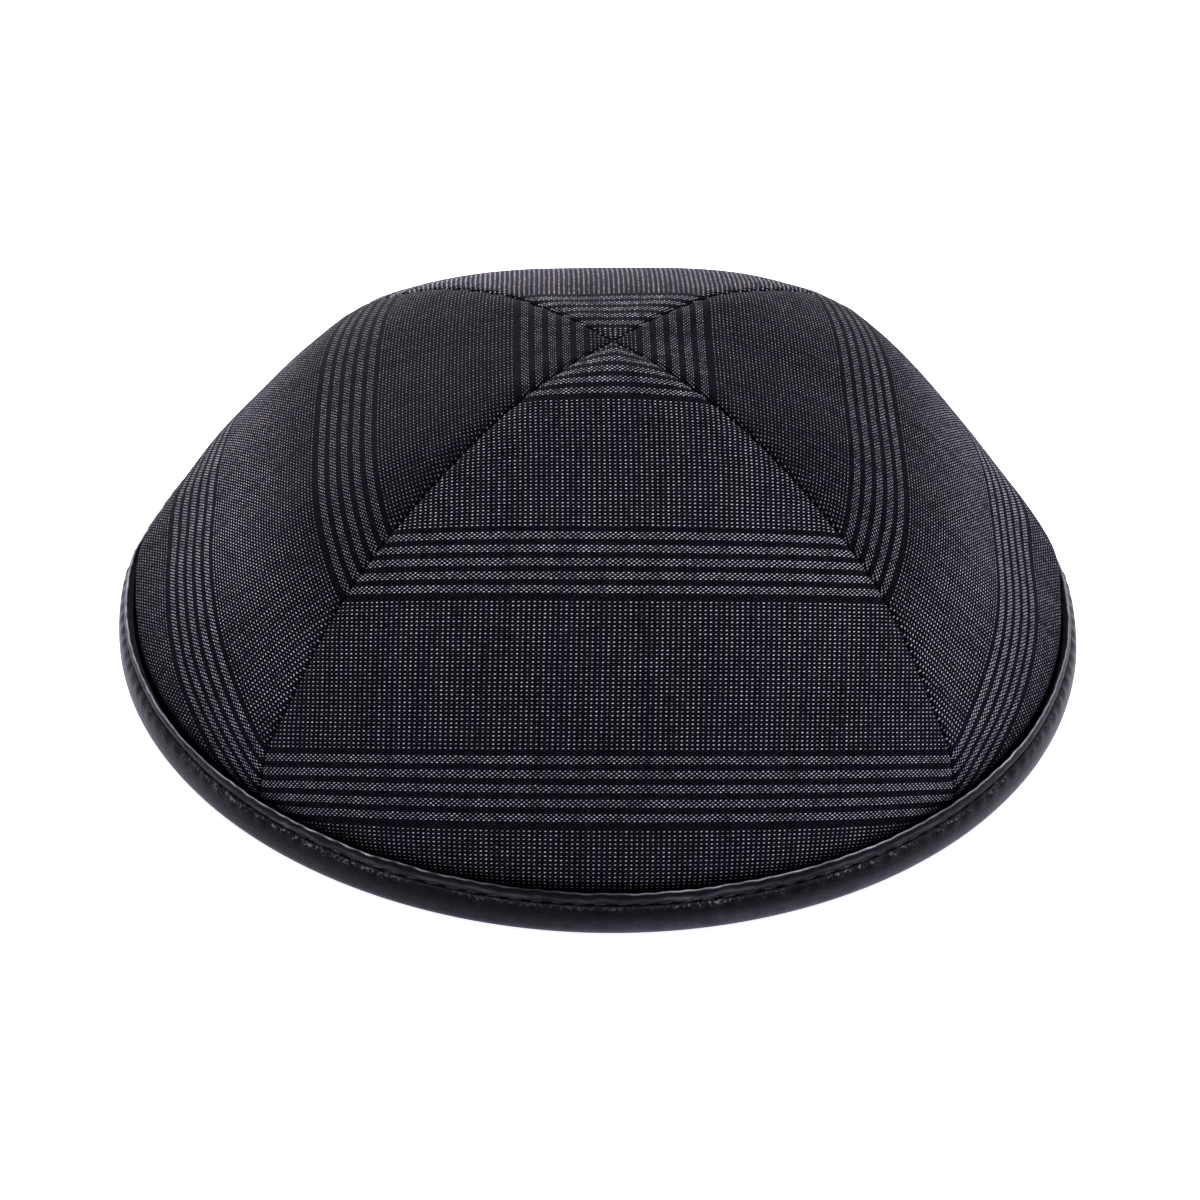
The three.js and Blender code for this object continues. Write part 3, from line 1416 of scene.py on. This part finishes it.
    def band(self) -> bpy.types.Object:
        """Build the binding as a full turn of its section, then work in the sewing.

        Returns:
            The band.
        """
        mesh = bmesh.new()
        outline = [mesh.verts.new((radius * MM, 0.0, height * MM)) for radius, height in self.outline()]
        edges = [mesh.edges.new(pair) for pair in zip(outline, outline[1:] + outline[:1])]
        sector = 2 * math.pi / self.sectors
        bmesh.ops.spin(
            mesh, geom=outline + edges, axis=(0, 0, 1), angle=sector, steps=self.steps // self.sectors,
        )
        bmesh.ops.spin(
            mesh, geom=[*mesh.verts, *mesh.edges, *mesh.faces], axis=(0, 0, 1),
            angle=2 * math.pi - sector, steps=self.sectors - 1, use_duplicate=True,
        )
        bmesh.ops.remove_doubles(mesh, verts=mesh.verts, dist=self.merge_distance * MM)
        bmesh.ops.recalc_face_normals(mesh, faces=mesh.faces)
        highlighting = mesh.verts.layers.float.new(PAINTED_HIGHLIGHT)
        crease = mesh.verts.layers.float.new(CREASE_SHADE)
        glint = mesh.verts.layers.float.new(CREASE_GLINT)
        for vert in mesh.verts:
            radius, height = math.hypot(vert.co.x, vert.co.y) / MM, vert.co.z / MM
            azimuth = math.atan2(vert.co.y, vert.co.x)
            outer = smooth_step(*self.outer_rise, radius)
            inside = 1 - smooth_step(*self.inside_rise, radius)
            # Painted highlights, painted floor light and painted glints on the outer face.
            vert[highlighting] = self.highlighting(height, azimuth) * outer
            vert[glint] = self.glinting(height, azimuth) * outer
            vert[crease] = max(hump(self.crease_height, self.crease_reach, height), inside) * outer
            moved, lifted = self.worked(radius, height, azimuth)
            vert.co.x = moved * math.cos(azimuth) * self.form.oval_side * MM
            vert.co.y = moved * math.sin(azimuth) * self.form.oval_front * MM
            vert.co.z = lifted * MM
        piece = object_from(mesh, BINDING_NAME, [self.leather])
        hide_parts("rim_binding")
        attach(piece, "root")
        return piece

    def stitching(self) -> bpy.types.Object:
        """Build the run of stitches sunk in the crease.

        Returns:
            The stitches.
        """
        mesh = bmesh.new()
        oval = Matrix.Diagonal((self.form.oval_side, self.form.oval_front, 1.0, 1.0))
        lean = Matrix.Rotation(self.stitch_lean, 4, "X")
        half = Vector((self.thread_radius, self.stitch_length / 2, self.thread_radius)) * MM
        size = Matrix.Diagonal((*half, 1.0))
        for index in range(self.stitches):
            azimuth = 2 * math.pi * (index + 0.5) / self.stitches
            turn = Matrix.Rotation(azimuth, 4, "Z")
            shoulder_in, shoulder_up = self.shoulder(azimuth, self.crease_height)
            reach = self.crease_radius + self.stitch_out - self.form.drawn_in(azimuth) - shoulder_in
            out = Matrix.Translation(Vector((reach, 0.0, self.crease_height + shoulder_up)) * MM)
            bmesh.ops.create_uvsphere(
                mesh, u_segments=self.stitch_segments, v_segments=self.stitch_rings, radius=1.0,
                matrix=oval @ turn @ out @ lean @ size,
            )
        piece = object_from(mesh, "binding_stitches", [self.thread])
        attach(piece, "root")
        return piece

    def build(self) -> list[bpy.types.Object]:
        """Build the band and its stitches."""
        return [self.band(), self.stitching()]


# The picture


@dataclass(frozen=True)
class SoftLight:
    """A square soft light that faces the cap: its place and side in metres, its watts and its tint."""

    name: str
    place: tuple[float, float, float]
    size: float
    power: float
    tint: Colour = (1.0, 1.0, 1.0)

    def hang(self) -> None:
        """Hang the light."""
        data = bpy.data.lights.new(self.name, "AREA")
        data.color = self.tint
        data.size = self.size
        data.energy = self.power
        lamp = bpy.data.objects.new(self.name, data)
        lamp.location = self.place
        lamp.rotation_mode = "QUATERNION"
        lamp.rotation_quaternion = Vector(self.place).to_track_quat("Z", "Y")
        bpy.context.scene.collection.objects.link(lamp)


@dataclass
class Studio:
    """Pale floor, soft lights and a camera at the photograph's angle."""

    floor: bpy.types.Material
    floor_reach: float = 3.0
    room_light: float = 0.5
    lights: tuple[SoftLight, ...] = (
        SoftLight("overhead_light", (0.05, 0.1, 1.2), 1.2, 17.0),
        SoftLight("back_light", (-0.16, 1.3, 0.3), 0.7, 44.0, (1.0, 0.95, 0.985)),
        SoftLight("right_light", (0.9, 0.3, 0.3), 0.6, 2.0, (0.84, 0.83, 1.0)),
        SoftLight("left_light", (-0.9, 0.3, 0.3), 0.6, 0.6, (0.9, 0.89, 1.0)),
    )
    image_side: float = 1200.0
    focal_pixels: float = 3589.0
    sensor: float = 36.0
    sight: Pair = (0.01, 20.0)
    elevation: float = 35.85
    yaw: float = 2.31
    roll: float = -1.66
    distance: float = 636.0
    target_height: float = 20.0
    target_across: float = 601.7
    target_down: float = 532.4

    def camera(self) -> None:
        """Set the camera where the photograph was taken from."""
        data = bpy.data.cameras.new("photo_camera")
        data.sensor_width = self.sensor
        data.lens = self.focal_pixels / self.image_side * self.sensor
        data.clip_start, data.clip_end = self.sight
        rise, turn, roll = (math.radians(angle) for angle in (self.elevation, self.yaw, self.roll))
        away = math.cos(rise)
        back = Vector((-away * math.sin(turn), -away * math.cos(turn), math.sin(rise)))
        level = Vector((math.cos(turn), -math.sin(turn), 0.0))
        upright = back.cross(level)
        right = level * math.cos(roll) - upright * math.sin(roll)
        above = level * math.sin(roll) + upright * math.cos(roll)
        centre = self.image_side / 2
        aside = (self.target_across - centre) / self.focal_pixels
        lift = (centre - self.target_down) / self.focal_pixels
        place = Vector((0.0, 0.0, self.target_height)) + back * self.distance
        aim = (back + right * aside + above * lift).normalized()
        above = aim.cross(right).normalized()
        right = above.cross(aim)
        axes = Matrix((right, above, aim)).transposed().to_4x4()
        camera = bpy.data.objects.new("photo_camera", data)
        camera.matrix_world = Matrix.Translation(place * MM) @ axes
        bpy.context.scene.collection.objects.link(camera)
        bpy.context.scene.camera = camera

    def build(self) -> None:
        """Lay the floor, hang the lights and set the camera."""
        mesh = bmesh.new()
        bmesh.ops.create_grid(mesh, x_segments=1, y_segments=1, size=self.floor_reach)
        object_from(mesh, "floor", [self.floor])
        world = bpy.data.worlds.new("soft_room")
        world.use_nodes = True
        background = world.node_tree.nodes["Background"]
        background.inputs["Color"].default_value = (1.0, 1.0, 1.0, 1.0)
        background.inputs["Strength"].default_value = self.room_light
        bpy.context.scene.world = world
        for light in self.lights:
            light.hang()
        bpy.context.scene.view_settings.view_transform = "Standard"
        self.camera()


def main() -> None:
    """Build the cap around the frame and report each piece."""
    logging.basicConfig(level=logging.INFO, format="%(name)s: %(message)s")
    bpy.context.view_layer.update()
    form = CrownForm()
    chart = WeaveChart(form)
    cloth, back = NailheadCloth().make(), InnerFace().make()
    pieces = []
    for side in PanelSide:
        pieces.append(ClothPanel(side, MAKINGS[side], form, chart, cloth, back).build())
    pieces += RimBinding(form, BlackLeather().make(), SewingThread().make()).build()
    Studio(PaleFloor().make()).build()
    for piece in pieces:
        log.info("%s: %d faces before modifiers", piece.name, len(piece.data.polygons))


if __name__ == "__main__":
    main()
